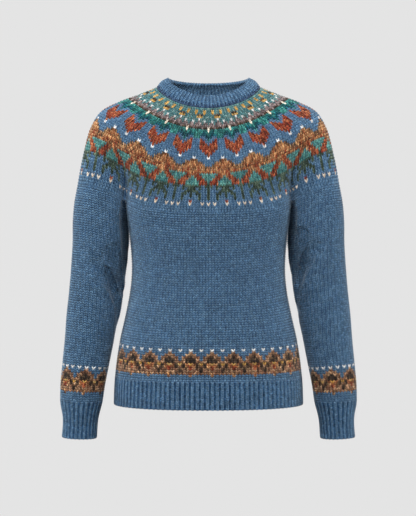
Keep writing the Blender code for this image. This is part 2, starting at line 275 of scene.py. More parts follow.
def turn_at(surface, y, low, high):
    """The angle at which a surface's joining round reaches y, between two angles."""
    turns = np.linspace(low, high, FINE)
    reached = at_join(surface, turns)[:, 1]
    order = np.argsort(reached)
    return float(np.interp(y, reached[order], turns[order]))


TRUNK_FRONT = turn_at(trunk, -UNDERARM_HALF, 0.0, HALF_TURN / 2)
TRUNK_BACK = turn_at(trunk, UNDERARM_HALF, HALF_TURN / 2, HALF_TURN)
SLEEVE_FRONT = turn_at(sleeve, -UNDERARM_HALF, -HALF_TURN / 2, 0.0)
SLEEVE_BACK = turn_at(sleeve, UNDERARM_HALF, HALF_TURN, 1.5 * HALF_TURN)


def stretch(surface, start, end, share):
    """Points at shares of the length of a stretch of a surface's joining round."""
    turns = np.linspace(start, end, FINE)
    lengths = running_length(at_join(surface, turns))
    return at_join(surface, np.interp(np.clip(share, 0, 1) * lengths[-1], lengths, turns))


def join_point(share):
    """The joining round in the left half, from 0 at the front middle to 0.5 at the back middle."""
    near = np.minimum(share, 0.5 - share)
    on_chest = near / CHEST_END
    on_arm = (near - ARM_START) / (QUARTER - ARM_START)
    across = np.clip((near - CHEST_END) / (ARM_START - CHEST_END), 0, 1)[:, None]
    front = stretch(trunk, 0.0, TRUNK_FRONT, on_chest) * (1 - across)
    front += stretch(sleeve, SLEEVE_FRONT, HALF_TURN / 2, on_arm) * across
    back = stretch(trunk, HALF_TURN, TRUNK_BACK, on_chest) * (1 - across)
    back += stretch(sleeve, SLEEVE_BACK, HALF_TURN / 2, on_arm) * across
    return np.where((share <= QUARTER)[:, None], front, back)


def ellipse_angle(share, wide, deep):
    """The angle at a share of the round of an ellipse, with equal lengths for equal shares."""
    angles = np.linspace(0, HALF_TURN / 2, FINE)
    lengths = running_length(np.stack((wide * np.sin(angles), deep * np.cos(angles)), axis=-1))
    return np.interp(share / QUARTER * lengths[-1], lengths, angles)


def yoke_round(down, share):
    """A round of the yoke, at shares from the front middle, positive towards +X."""
    side = np.sign((share + 0.5) % 1.0 - 0.5)
    share = abs((share + 0.5) % 1.0 - 0.5)
    front = share <= QUARTER
    near = np.minimum(share, 0.5 - share)

    def half(name):
        ends = (read(CAPE, part + name, down) for part in ("front", "back"))
        return np.where(front, *ends)

    wide, high = read(CAPE, "side", down), read(CAPE, "side_drop", down)
    deep, low = half(""), half("_drop")
    angles = (ellipse_angle(near, wide, read(CAPE, part, down)) for part in ("front", "back"))
    angle = np.where(front, *angles)
    cape_x, cape_y = wide * np.sin(angle), deep * np.cos(angle)
    cape_drop = high + (low - high) * np.cos(angle) ** read(CAPE, "bend", down)

    leaning = CREASE_DRIFT * (1 - down) * np.sin(HALF_TURN * near / QUARTER) ** 2
    lobe_share = near - leaning
    x, y, z = join_point(np.where(front, lobe_share, 0.5 - lobe_share)).T
    end = CAPE[-1]
    end_deep = np.where(front, end.front, end.back)
    end_low = np.where(front, end.front_drop, end.back_drop)
    lobe_x, lobe_y = x * wide / end.side, abs(y) * deep / end_deep
    lobe_drop = high + (low - high) * (-z - end.side_drop) / (end_low - end.side_drop)

    lobed = ease((down - CREASE_STARTS) / (1 - CREASE_STARTS))
    x = cape_x + (lobe_x - cape_x) * lobed
    y = (cape_y + (lobe_y - cape_y) * lobed) * np.where(front, -1, 1)
    drop = cape_drop + (lobe_drop - cape_drop) * lobed
    return np.stack((side * x, y, -drop), axis=-1)


def band_round(down, share):
    """A round of the neckband, from its top edge (0) to its seam (1)."""
    turn, up = share * 2 * HALF_TURN, 1 - down
    front = np.cos(turn) > 0
    deep = np.where(front, read(BAND, "front", up), read(BAND, "back", up))
    low = np.where(front, read(BAND, "front_rise", up), read(BAND, "back_rise", up))
    high = read(BAND, "side_rise", up)
    rise = high + (low - high) * abs(np.cos(turn)) ** read(BAND, "bend", up)
    return np.stack((read(BAND, "side", up) * np.sin(turn), -deep * np.cos(turn), rise), axis=-1)


def by_length(points, first, share):
    """Points at shares of the length of a closed round, counted from one of its points."""
    lengths = running_length(points)
    at = (share * lengths[-1] + lengths[first]) % lengths[-1]
    return np.stack([np.interp(at, lengths, points[:, k]) for k in range(3)], axis=-1)


TURNS = np.linspace(0, 2 * HALF_TURN, FINE)
OUTER_SIDE = FINE // 4  # the point of a round that faces away from the body


def body_round(start, end):
    """A function for rounds of the body between two drops. A start of None is the joining round."""
    top = -at_join(trunk, TURNS)[:, 2] if start is None else TURNS * 0 + start

    def at(down, share):
        return by_length(trunk(TURNS, top + (end - top) * down), 0, share)

    return at


def tilted(drop):
    """Drops round a sleeve for a round that falls towards the body."""
    drop = TURNS * 0 + drop
    return drop - CUFF_TILT * (sleeve(TURNS, drop)[:, 0] - read(SLEEVE, "middle_x", drop))


def folded(points, drop, folds):
    """A round of a sleeve, moved towards its middle where folds are pressed into it."""
    around = np.degrees((TURNS + HALF_TURN) % (2 * HALF_TURN) - HALF_TURN)
    place = np.stack((np.radians(around) * SLEEVE_RADIUS, drop), axis=-1)
    sunk = np.zeros(len(TURNS))
    for path in folds:
        trough = np.zeros(len(TURNS))
        for a, b in zip(path, path[1:]):
            ends = [np.array((math.radians(end.turn) * SLEEVE_RADIUS, end.drop)) for end in (a, b)]
            step = ends[1] - ends[0]
            t = np.clip((place - ends[0]) @ step / (step @ step), 0, 1)
            away = np.linalg.norm(place - ends[0] - t[:, None] * step, axis=-1)
            away /= a.reach + (b.reach - a.reach) * t
            dent = np.exp(-(away**2)) - FOLD_RIDGE * np.exp(-((away / RIDGE_REACH) ** 2))
            dent *= (a.depth + (b.depth - a.depth) * t) / (1 - FOLD_RIDGE)
            trough = np.where(abs(dent) > abs(trough), dent, trough)
        sunk += trough
    middle = np.stack((read(SLEEVE, "middle_x", drop), read(SLEEVE, "middle_y", drop), -drop), axis=-1)
    inwards = middle - points
    return points + inwards * (sunk / np.linalg.norm(inwards, axis=-1))[:, None]


def sleeve_round(start, end, folds=()):
    """The same for the left sleeve, with shares counted from the middle of its outer side."""
    top = -at_join(sleeve, TURNS)[:, 2] if start is None else tilted(start)
    bottom = tilted(end)

    def at(down, share):
        drop = top + (bottom - top) * down
        return by_length(folded(sleeve(TURNS, drop), drop, folds), OUTER_SIDE, share)

    return at


# ---------------------------------------------------------------- yarns and charts


def linear(code):
    """A colour given as sRGB hex, in linear light."""
    values = np.array([int(code[i : i + 2], 16) for i in (1, 3, 5)]) / 255
    return np.where(values <= 0.04045, values / 12.92, ((values + 0.055) / 1.055) ** 2.4)


# A heathered yarn runs from its main shade to its fleck. Uneven is how far a stitch may be
# lighter or darker than the next.
Yarn = namedtuple("Yarn", "main fleck uneven")
YARNS = {
    "b": Yarn("#597a97", "#6f8ea7", 0.10),  # denim blue, the main yarn
    "t": Yarn("#4f8086", "#829b97", 0.18),  # pale teal
    "g": Yarn("#1b6769", "#5ea69e", 0.25),  # sea green
    "K": Yarn("#0f4a58", "#1f7480", 0.25),  # dark teal
    "a": Yarn("#4c8287", "#79aba1", 0.20),  # blue teal
    "y": Yarn("#c0984f", "#d4b47a", 0.12),  # yellow
    "D": Yarn("#332b28", "#75604c", 0.25),  # dark brown
    "w": Yarn("#dfdedd", "#f6f5f3", 0.06),  # white
    "c": Yarn("#e2d2c0", "#f6eee2", 0.06),  # cream
    "u": Yarn("#75686a", "#ae9f9c", 0.28),  # taupe
    "r": Yarn("#863b29", "#b67855", 0.33),  # rust
    "o": Yarn("#945e3f", "#cba57a", 0.31),  # ochre
    "s": Yarn("#86624e", "#c4a484", 0.30),  # sand
    "e": Yarn("#5c493b", "#b89a74", 0.33),  # brown and sand, spun together
    "v": Yarn("#3e5046", "#6d7d6d", 0.24),  # olive
    "n": Yarn("#2f4766", "#4b6784", 0.16),  # deep blue
}

# One repeat of the yoke, a line for each round from the neck down. A line starts between two
# hearts. Over the heart's middle is its middle letter, or in the first group, whose lines read
# the same both ways, the place between two letters. Each group of rounds has more stitches than
# the one above, as the yoke widens.
YOKE_REPEATS = 20
YOKE_CHARTS = (
    (
        "tttttt",
        "tyttyt",
        "tyttyt",
        "DttttD",
        "ytttty",
    ),
    (
        "wttttttttt",
        "uttwtttwtt",
        "uutuutuutu",
        "uuuuuuuuuu",
        "DDuDDcDDuD",
        "gggggcgggg",
        "gggKgggKgg",
        "ggKKKgKKKg",
        "ggbbKKKbbg",
        "bbrbbgbbrb",
        "bbrrbbbrrb",
        "bbrrrbrrrb",
        "bbrrrrrrrb",
        "bbrrrrrrrb",
        "bbbrrrrrbb",
        "bbbbrrrbbb",
        "bbbbbrbbbb",
        "wbbbbwbbbb",
    ),
    (
        "oebbbbbbbbbe",
        "oooebbbbbeoo",
        "ooooebbbeooo",
        "oooooeseoooo",
        "ooroooosooro",
        "oroorooorooo",
        "ooraaaaaaaro",
        "aorraaaaarro",
        "aarrraaarrra",
        "aaarrrarrraa",
        "aaarrrvrrraa",
        "vvvvbvvvbvvv",
        "vvbvbbvbbvbv",
        "vvvbbbvbbbvv",
        "vbvvbbvbbvvb",
        "vbbvbbvbbvbb",
        "bbbvbbvbbvbb",
        "rbbbbbbbbbbb",
        "cbbbcbcbcbbb",
        *("bbbbbbbbbbbb",) * 3,
    ),
)

# The zigzag band above the hem and the cuffs. A line starts at a peak.
ZIGZAG = (
    "sbbbbb",
    "ssbbbs",
    "Dssbss",
    "DDsbsD",
    "DDsssD",
    "yoDyDo",
    "roDsDo",
    "rssDss",
    "sssDss",
    "osssss",
    "sbbbbb",
)
HEM_CHART = ("wbbwbb",) + ZIGZAG + ("bbbbbb",) * 2
HEM_PEAK = 1  # the stitch, counted from the front middle, at a peak of the hem's zigzag
CUFF_CHART = ("wbwbwb",) + ZIGZAG + ("bbbbbb",) * 3


def charted(chart, around, first):
    """Yarn letters for a chart's rounds, its repeats counted from stitch number first."""
    letters = np.array([list(line) for line in chart])
    return letters[:, (np.arange(around) - first) % letters.shape[1]]


def plain(rows, around):
    """Yarn letters for rounds in the main yarn."""
    return np.full((rows, around), "b")


def legs(letters, seed, each=2):
    """A colour for each of a stitch's two legs, each a little off its neighbour's. A rib has
    three: its knitted stitch's legs, and the purled stitch beside it."""
    chance = np.random.default_rng(seed)
    letters = np.repeat(letters, each, axis=1)
    colours = np.zeros(letters.shape + (3,))
    blend = chance.random(letters.shape)[..., None] ** MAIN_YARN
    shade = chance.normal(size=letters.shape)[..., None].clip(-WIDEST_CHANGE, WIDEST_CHANGE)
    for letter in np.unique(letters):
        yarn = YARNS[letter]
        mixed = linear(yarn.main) * (1 - blend) + linear(yarn.fleck) * blend
        colours = np.where((letters == letter)[..., None], mixed * (1 + yarn.uneven * shade), colours)
    return colours


# ---------------------------------------------------------------- knitting

# Each piece's yarns are mixed by chance, from a seed of its own.
SEEDS = {"yoke": 10, "body": 21, "hem": 31, "sleeve": 41, "cuff": 51, "band": 61, "band_lining": 62}
MAIN_YARN = 1.5  # over 1, more legs lie near the yarn's main shade than near its fleck
WIDEST_CHANGE = 2  # the most that a leg's lightness may stray, in its yarn's unevenness

# Mesh lines down one round of stitches: the pinch between two rounds, then the fat of the legs.
ROUND_LINES = (0.0, 0.3, 0.7)
# Mesh lines across one stitch: its edge, left leg, middle and right leg. In a rib they cover
# the knitted stitch, and one more line follows the purled stitch beside it.
STITCH_LINES = (0.0, 0.25, 0.5, 0.75)
RIB_KNIT = 0.64  # share of a rib that its knitted stitch takes
RIB_LINES = (0.0, 0.16, 0.32, 0.48, 0.64, 0.82)
RIB_COLUMNS = 3  # columns of yarn in a rib: two legs, and the purled stitch beside them
RIM_ANGLES = (30, 70, 110, 150)  # where rings lie in the half round over an edge, in degrees
RIM_ROUNDS = 0.4  # how far the last round reaches over the edge
RIM_SMOOTHING = 0.5  # how much flatter the knitting is at the very edge
HAIRINESS = 0.35  # how far colours run into each other, where hairs cross to the next stitch
SEAM_SHADE = 0.5  # how much of the usual painted shade the hollows have where the knitting is flat
CALM_ROUNDS = 0.5  # the last part of a round before an edge, over which its legs level out
SEAM_RELIEF = 0.5  # how much of their relief, and of the painted shade in their hollows, the rounds keep at an edge or a join
SEAM_GROOVE = 1.1  # how deep the seam between plain knitting and ribbing lies
RIB_FADE = 1.2  # rounds over which a rib grows out of the plain knitting beside it
SAME_PLACE = 1e-9  # mesh lines less than this apart, in stitches, count as one

Form = namedtuple("Form", "points out shares")
Ring = namedtuple("Ring", "points out shares wale course relief colour same ends")


def make_form(round_at, rows, shares):
    """A surface's points and outward directions, at each row (from 0 to 1) and each share."""
    shares = np.broadcast_to(shares, (len(rows), np.shape(shares)[-1]))

    def moved(by):
        return np.stack([round_at(row, share + by) for row, share in zip(rows, shares)])

    points = moved(0)
    out = np.cross(np.gradient(points, axis=0), moved(NUDGE) - moved(-NUDGE))
    return Form(points, unit(out), shares)


def along(grid, at):
    """Values of a form's grid at a row of its own for each column."""
    i = np.clip(at.astype(int), 0, len(grid) - 2)
    part = at - i
    if grid.ndim == 3:
        part = part[:, None]
    column = np.arange(grid.shape[1])
    return grid[i, column] * (1 - part) + grid[i + 1, column] * part


def line_places(lines, around):
    """For each mesh line round a piece: its place in stitches, and how its leg leans, from -1 to
    1."""
    place = (np.arange(around)[:, None] + np.array(lines)).ravel()
    part = place % 1.0
    if len(lines) > len(STITCH_LINES):
        part = np.minimum(part / RIB_KNIT, 1.0)
    return place, 1 - 4 * abs(part - 0.5)


def stitch_rings(
    form, lines, ends, colours, lean, level=(True, True), inside=0.0, held=None, fade=None
):
    """Rings for the rounds of a form between two ends. An end is level at an edge or a join, and
    not where the same knitting goes on in another piece. Lean is a leg's rise to either side of
    its middle, in rounds. Held is half of the stitches that each round keeps, counted from the
    middle. Fade is the round at which ribs have died away."""
    around = form.points.shape[1] // len(lines)
    place, leaning = line_places(lines, around)
    first, last = ends
    inner = [row + part for row in range(int(first), math.ceil(last)) for part in ROUND_LINES]
    rings = []
    for t in [first] + [t for t in inner if first < t < last] + [last]:
        gaps = [abs(t - end) / CALM_ROUNDS for end, calm in zip(ends, level) if calm]
        calm = min([1.0] + gaps)
        at = t + leaning * lean * calm
        same = np.arange(len(place))
        if held is not None:
            gone = abs(place - around / 2) >= held[min(int(t), len(held) - 1)] - SAME_PLACE
            at = np.where(gone, t, at)
            same = np.where(gone, int(np.argmax(gone)), same)
        points, out = along(form.points, at), unit(along(form.out, at))
        strength = SEAM_RELIEF if calm == 0 else 1.0
        relief = place * 0 + (strength if fade is None else float(ease(abs(t - fade) / RIB_FADE)))
        if t == fade:
            points = points - out * SEAM_GROOVE
        if inside:
            points, out = points - out * inside, -out
        colour = np.repeat(colours[min(int(t), len(colours) - 1)], 2, axis=0)
        shares = along(form.shares, at)
        edge = t in ends
        rings.append(Ring(points, out, shares, place, place * 0 + t, relief, colour, same, edge))
    return rings


def lining_rings(form, first, last):
    """Rings for the plain inner side of a piece, from the top down."""
    rings = []
    stitches = np.arange(form.points.shape[1], dtype=float)
    for t in np.linspace(first, last, max(2, round((last - first) / LINING_STEP) + 1)):
        at = stitches * 0 + t
        out = unit(along(form.out, at))
        points, shares = along(form.points, at) - out * WALL, along(form.shares, at)
        # The main yarn's colour, painted darker as shade on the inner side.
        colours = np.broadcast_to(SHADED_LINING_COLOUR, out.shape)
        same = np.arange(len(stitches))
        rings.append(Ring(points, -out, shares, stitches, at, at * 0, colours, same, False))
    return rings


def rim_rings(ring, thick, roll, downwards):
    """Rings over an edge, in a half round from its outer side to its inner one."""
    away = np.array((0.0, 0.0, -1.0 if downwards else 1.0))
    middle = ring.points - ring.out * thick / 2
    rings = []
    for angle in RIM_ANGLES:
        across, up = math.cos(math.radians(angle)), math.sin(math.radians(angle))
        points = middle + ring.out * across * thick / 2 + away * up * roll
        course = ring.course + up * (RIM_ROUNDS if downwards else -RIM_ROUNDS)
        out = ring.out * across + away * up
        relief = ring.relief * (1 - RIM_SMOOTHING * up)
        rings.append(ring._replace(points=points, out=out, course=course, relief=relief, ends=False))
    return rings


Faces = namedtuple("Faces", "corners places colours")


def closed(values, step):
    """Values round a ring, with the first one again at the end, a whole round further on."""
    return np.append(values, values[0] + step)


def faces_between(upper, lower, upper_start, lower_start):
    """Four-sided and three-sided faces between two rings. Places are each corner's stitch and
    round, and a face takes its colour from the ring that has more stitches."""
    n, m = len(upper.points), len(lower.points)
    fine = upper if n >= m else lower
    around = int(fine.wale[-1]) + 1
    if n == m:
        a, b = upper.same + upper_start, lower.same + lower_start
        fours = np.stack((a, b, np.roll(b, -1), np.roll(a, -1)), axis=-1)
        wale = closed(upper.wale, around)
        u = np.stack((wale[:-1], wale[:-1], wale[1:], wale[1:]), axis=-1)
        v = np.stack((upper.course, lower.course, lower.course, upper.course), axis=-1)
        uv = np.stack((u, v), axis=-1)
        top_shut, foot_shut = fours[:, 0] == fours[:, 3], fours[:, 1] == fours[:, 2]
        whole = ~top_shut & ~foot_shut
        found = [Faces(fours[whole], uv[whole], upper.colour[whole])]
        for chosen, kept in ((top_shut & ~foot_shut, [0, 1, 2]), (foot_shut & ~top_shut, [0, 1, 3])):
            found.append(Faces(fours[chosen][:, kept], uv[chosen][:, kept], upper.colour[chosen]))
        return found
    shares = closed(fine.shares, 1.0), closed(fine.wale, around)
    tops, feet = closed(upper.shares, 1.0), closed(lower.shares, 1.0)
    top_wale, foot_wale = (np.interp(ring, *shares) for ring in (tops, feet))
    top_course, foot_course = upper.course[0], lower.course[0]
    threes, places, shades = [], [], []
    i = j = 0
    while i < n or j < m:
        corners = [upper_start + i % n, lower_start + j % m]
        where = [(top_wale[i], top_course), (foot_wale[j], foot_course)]
        shades.append(fine.colour[min(i if fine is upper else j, len(fine.colour) - 1)])
        if j == m or (i < n and tops[i + 1] <= feet[j + 1]):
            i += 1
            corners.append(upper_start + i % n)
            where.append((top_wale[i], top_course))
        else:
            j += 1
            corners.append(lower_start + j % m)
            where.append((foot_wale[j], foot_course))
        threes.append(corners)
        places.append(where)
    return [Faces(np.array(threes), np.array(places), np.array(shades))]


def placed(name, data):
    """A new object in the scene."""
    made = bpy.data.objects.new(name, data)
    bpy.context.scene.collection.objects.link(made)
    return made


def shell(name, rings, mirrored):
    """A closed mesh through a loop of rings: down the outer side and up the inner one."""
    starts = np.concatenate(([0], np.cumsum([len(ring.points) for ring in rings])))
    found = []
    for k, ring in enumerate(rings):
        following = (k + 1) % len(rings)
        found += faces_between(ring, rings[following], starts[k], starts[following])
    found = [faces for faces in found if len(faces.corners)]
    used = np.unique(np.concatenate([faces.corners.ravel() for faces in found]))
    values = {
        part: np.concatenate([getattr(ring, part) for ring in rings])[used]
        for part in ("points", "out", "wale", "course", "relief")
    }
    if mirrored:
        values["points"][:, 0] *= -1
        values["out"][:, 0] *= -1
        found = [Faces(faces.corners[:, ::-1], faces.places[:, ::-1], faces.colours) for faces in found]
    found = [faces._replace(corners=np.searchsorted(used, faces.corners)) for faces in found]
    corner = np.concatenate([faces.corners.ravel() for faces in found])
    mesh = bpy.data.meshes.new(name)
    mesh.from_pydata(values["points"] * MM, [], sum((faces.corners.tolist() for faces in found), []))
    for part in ("wale", "course", "relief"):
        layer = mesh.attributes.new(part, "FLOAT", "POINT")
        layer.data.foreach_set("value", values[part].astype(np.float32))
    layer = mesh.attributes.new("out", "FLOAT_VECTOR", "POINT")
    layer.data.foreach_set("vector", values["out"].astype(np.float32).ravel())
    colours = np.concatenate([np.repeat(faces.colours, faces.corners.shape[1], axis=0) for faces in found])
    around = np.zeros((len(used), 3))
    np.add.at(around, corner, colours)
    around /= np.bincount(corner, minlength=len(used))[:, None]
    colours = colours * (1 - HAIRINESS) + around[corner] * HAIRINESS
    # The alpha carries how strongly the hollows' painted shade shows: half where the relief is nothing,
    # full where it is whole.
    depth = SEAM_SHADE + (1 - SEAM_SHADE) * values["relief"][corner][:, None]
    layer = mesh.color_attributes.new("yarn", "FLOAT_COLOR", "CORNER")
    layer.data.foreach_set("color", np.hstack((colours, depth)).astype(np.float32).ravel())
    ring = np.repeat(np.arange(len(rings)), [len(ring.points) for ring in rings])[used]
    ends = np.array([ring.ends for ring in rings])[ring]
    edges = np.zeros(len(mesh.edges) * 2, int)
    mesh.edges.foreach_get("vertices", edges)
    a, b = edges.reshape(-1, 2).T
    sharp = mesh.attributes.new("sharp_edge", "BOOLEAN", "EDGE")
    sharp.data.foreach_set("value", ends[a] & ends[b] & (ring[a] == ring[b]))
    places = np.concatenate([faces.places.ravel() for faces in found])
    mesh.uv_layers.new(name="stitches").data.foreach_set("uv", places.astype(np.float32))
    return placed(name, mesh)


# ---------------------------------------------------------------- node trees

MATHS = "ShaderNodeMath"
NOISE = "ShaderNodeTexNoise"
RANGE = "ShaderNodeMapRange"
BUMP = "ShaderNodeBump"


def add(tree, kind, values=(), **settings):
    """A node with its settings, and its inputs: values, or sockets or nodes to link."""
    node = tree.nodes.new(kind)
    for name, value in settings.items():
        setattr(node, name, value)
    for key, value in dict(values if isinstance(values, dict) else enumerate(values)).items():
        value = value.outputs[0] if isinstance(value, bpy.types.Node) else value
        if isinstance(value, bpy.types.NodeSocket):
            tree.links.new(value, node.inputs[key])
        else:
            node.inputs[key].default_value = value
    return node


# How high the yarn stands across a stitch or a rib, and then along a round: 1 is the outermost,
# 0 the deepest.
RIB_PINCH = ((0.0, 0.55), (0.3, 1.0), (0.7, 1.0), (1.0, 0.55))
STITCH_PROFILES = (
    ((0.0, 0.15), (0.25, 1.0), (0.5, 0.35), (0.75, 1.0), (1.0, 0.15)),
    ((0.0, 0.0), (0.3, 1.0), (0.7, 0.9), (1.0, 0.0)),
)
RIB_PROFILES = (
    ((0.0, 0.0), (0.16, 1.0), (0.32, 0.75), (0.48, 1.0), (0.64, 0.0), (0.82, 0.45), (1.0, 0.0)),
    RIB_PINCH,
)
BAND_PROFILES = (
    ((0.0, 0.1), (0.16, 1.0), (0.32, 0.8), (0.48, 1.0), (0.64, 0.1), (0.82, 0.8), (1.0, 0.1)),
    RIB_PINCH,
)
LUMPS = 90.0  # thick and thin stretches of yarn, to a metre
UNEVENNESS = 0.25 * MM  # how far they stand out
LUMPS_SEED = 1.0


def yarn_height(tree, place, profile):
    """How high the yarn stands at a place, counted in stitches or in rounds."""
    part = add(tree, MATHS, (place,), operation="FRACT")
    height = add(tree, "ShaderNodeFloatCurve", {"Value": part})
    curve = height.mapping.curves[0]
    for point in profile[1:-1]:
        curve.points.new(*point)
    for made, point in zip(curve.points, profile):
        made.location = point
    height.mapping.update()
    return height


def relief_tree(name, profiles):
    """Sinks the hollows between the legs of the stitches into a smooth shell."""
    tree = bpy.data.node_groups.new(name, "GeometryNodeTree")
    face = tree.interface
    face.new_socket("Shell", in_out="INPUT", socket_type="NodeSocketGeometry")
    for label in ("Depth", "Unevenness", "Seed"):
        face.new_socket(label, in_out="INPUT", socket_type="NodeSocketFloat")
    face.new_socket("Wool", in_out="INPUT", socket_type="NodeSocketMaterial")
    face.new_socket("Knitting", in_out="OUTPUT", socket_type="NodeSocketGeometry")
    given = tree.nodes.new("NodeGroupInput").outputs
    stored = {}
    for label in ("wale", "course", "relief", "out"):
        kind = "FLOAT_VECTOR" if label == "out" else "FLOAT"
        node = add(tree, "GeometryNodeInputNamedAttribute", {"Name": label}, data_type=kind)
        stored[label] = node.outputs["Attribute"]

    places = stored["wale"], stored["course"]
    heights = [yarn_height(tree, place, profile) for place, profile in zip(places, profiles)]
    fullness = add(tree, MATHS, heights, operation="MULTIPLY")
    hollow = add(tree, MATHS, (fullness, 1.0), operation="SUBTRACT")
    sunk = add(tree, MATHS, (hollow, given["Depth"]), operation="MULTIPLY")
    lumps = {"W": given["Seed"], "Scale": LUMPS, "Detail": 2.0}
    uneven = add(tree, MATHS, (add(tree, NOISE, lumps, noise_dimensions="4D"), 0.5), operation="SUBTRACT")
    bumpy = add(tree, MATHS, (uneven, given["Unevenness"]), operation="MULTIPLY")
    raised = add(tree, MATHS, (sunk, bumpy), operation="ADD")
    moved = add(tree, MATHS, (raised, stored["relief"]), operation="MULTIPLY")
    offset = add(tree, "ShaderNodeVectorMath", {0: stored["out"], "Scale": moved}, operation="SCALE")
    made = add(tree, "GeometryNodeSetPosition", {"Geometry": given["Shell"], "Offset": offset})
    for label in stored:
        made = add(tree, "GeometryNodeRemoveAttribute", {"Geometry": made, "Name": label})
    made = add(tree, "GeometryNodeSetShadeSmooth", {"Geometry": made})
    made = add(tree, "GeometryNodeRealizeInstances", {"Geometry": made})
    made = add(tree, "GeometryNodeSetMaterial", {"Geometry": made, "Material": given["Wool"]})
    add(tree, "NodeGroupOutput", (made,))
    return tree


def applied(piece, tree, **values):
    """Runs a tree on a piece and keeps the result as its plain mesh."""
    modifier = piece.modifiers.new("knitting", "NODES")
    modifier.node_group = tree
    for item in tree.interface.items_tree:
        if item.item_type == "SOCKET" and item.in_out == "INPUT" and item.name in values:
            modifier[item.identifier] = values[item.name]
    seen = piece.evaluated_get(bpy.context.evaluated_depsgraph_get())
    mesh = bpy.data.meshes.new_from_object(seen)
    old = piece.data
    piece.modifiers.clear()
    piece.data = mesh
    bpy.data.meshes.remove(old)
    mesh.name = piece.name
    return piece


# How deep the shade painted into the wool's colour goes between two columns of stitches and between two
# rounds, and the further times that light meets the wool in the deepest hollows, which makes their painted
# shade darker and deeper in colour.
Shades = namedtuple("Shades", "columns rounds bounces")
TUFTS = 700.0  # of the carded wool, to a metre: 1 to 2 mm each
HEATHER = 0.6  # how much lighter or darker they are
CLOUDS = 35.0  # slow changes of shade, to a metre: about 30 mm each
CLOUDING = 0.05  # how much lighter or darker they are
NOISE_SPREAD = (0.3, 0.7)  # the range of a noise that a change of shade covers
LEG_ROUNDING = 1.0 * MM  # how high the bump stands that rounds the legs
HAIRS = 1400.0  # to a metre. Real hairs are far finer, and these are as coarse as they show.
HAIR_HEIGHT = 0.3 * MM


def carded_wool(name, profiles, shades):
    """Thick, carded, hardly spun wool: matt, heathered and hairy. Its colour is in the stitches.
    The hollows between the legs are painted darker and deeper in colour, as shade for light that has met
    wool several times there, and hardly so in white wool."""
    material = bpy.data.materials.new(name)
    material.use_nodes = True
    tree = material.node_tree
    place = add(tree, "ShaderNodeTexCoord").outputs["Object"]
    yarn = add(tree, "ShaderNodeVertexColor", layer_name="yarn").outputs
    stitches = add(tree, "ShaderNodeUVMap", uv_map="stitches")
    ways = add(tree, "ShaderNodeSeparateXYZ", (stitches,)).outputs

    # The painted shade of the hollows, from the stitch's shape and the yarn colour's alpha.
    lightness = []
    for way, profile, dark in zip(ways, profiles, (shades.columns, shades.rounds)):
        height = yarn_height(tree, way, profile)
        lightness.append(add(tree, RANGE, {"Value": height, "To Min": 1 - dark}))
    crest = add(tree, MATHS, lightness, operation="MULTIPLY")
    below = add(tree, MATHS, (1.0, crest), operation="SUBTRACT")
    hollow = add(tree, MATHS, (below, yarn["Alpha"]), operation="MULTIPLY")

    # The yarn's own heathered tone, lighter or darker at random.
    changes = []
    for scale, change in ((TUFTS, HEATHER), (CLOUDS, CLOUDING)):
        noise = add(tree, NOISE, {"Vector": place, "Scale": scale, "Detail": 2.0})
        values = {"Value": noise, "From Min": NOISE_SPREAD[0], "From Max": NOISE_SPREAD[1]}
        changes.append(add(tree, RANGE, {**values, "To Min": 1 - change, "To Max": 1 + change}))
    shade = add(tree, MATHS, changes, operation="MULTIPLY")
    heathered = add(tree, "ShaderNodeVectorMath", {0: yarn["Color"], "Scale": shade}, operation="SCALE")
    # Painted shade: the hollows' colour is raised to a higher power, so it is darker and deeper in colour.
    painted_shade = add(tree, MATHS, (hollow, shades.bounces), operation="MULTIPLY")
    gamma = add(tree, MATHS, (painted_shade, 1.0), operation="ADD")
    colour = add(tree, "ShaderNodeGamma", {"Color": heathered, "Gamma": gamma})

    fuzz = add(tree, NOISE, {"Vector": place, "Scale": HAIRS, "Detail": 2.0})
    hairy = add(tree, BUMP, {"Height": fuzz, "Distance": HAIR_HEIGHT, "Strength": 0.5})
    rounded = add(tree, BUMP, {"Height": crest, "Distance": LEG_ROUNDING, "Normal": hairy})
    surface = tree.nodes["Principled BSDF"].inputs
    tree.links.new(colour.outputs[0], surface["Base Color"])
    tree.links.new(rounded.outputs[0], surface["Normal"])
    finish = {"Roughness": 0.95, "Specular IOR Level": 0.15, "Sheen Weight": 0.25, "Sheen Roughness": 0.5}
    for label, value in finish.items():
        surface[label].default_value = value
    return material


# ---------------------------------------------------------------- the pieces

# Depth is how far the hollows lie below the fat of the stitches, and lean is how far the legs
# rise to either side of their middle, in rounds.
Knitting = namedtuple("Knitting", "tree wool depth lean")


def knitting(name, profiles, shades, depth, lean):
    wool = carded_wool(name + "_carded_wool", profiles, shades)
    return Knitting(relief_tree(name, profiles), wool, depth * MM, lean)


# Each knitting's Shades set how dark the shade painted into its hollows is; the neckband's is the darkest.
STOCKING = knitting("stocking_stitch", STITCH_PROFILES, Shades(0.5, 1.0, 1.65), depth=2.3, lean=0.28)
SLEEVE_STOCKING = STOCKING._replace(lean=0.36)
YOKE_STOCKING = knitting("yoke_stitch", STITCH_PROFILES, Shades(0.85, 0.6, 1.45), depth=2.2, lean=0.45)
RIBBING = knitting("one_by_one_rib", RIB_PROFILES, Shades(0.7, 1.0, 1.5), depth=2.2, lean=0.28)
NECK_RIBBING = knitting("neckband_rib", BAND_PROFILES, Shades(0.7, 1.0, 1.75), depth=2.0, lean=0.28)

WALL = 3.0  # how thick the knitting is
BAND_WALL = 6.4  # the neckband is knitted double and folded inwards
EDGE_ROLL = 1.5  # how far the hem and the cuffs round over at the edge
SHADED_LINING_COLOUR = linear("#4a6a8a")  # the main yarn, painted a little darker as shade on the inner side
LINING_STEP = 2  # rounds between two rings of a piece's inner side

YOKE_SPLIT = 27.5  # where the upper yoke mesh ends, in the middle of a round, and the lower begins
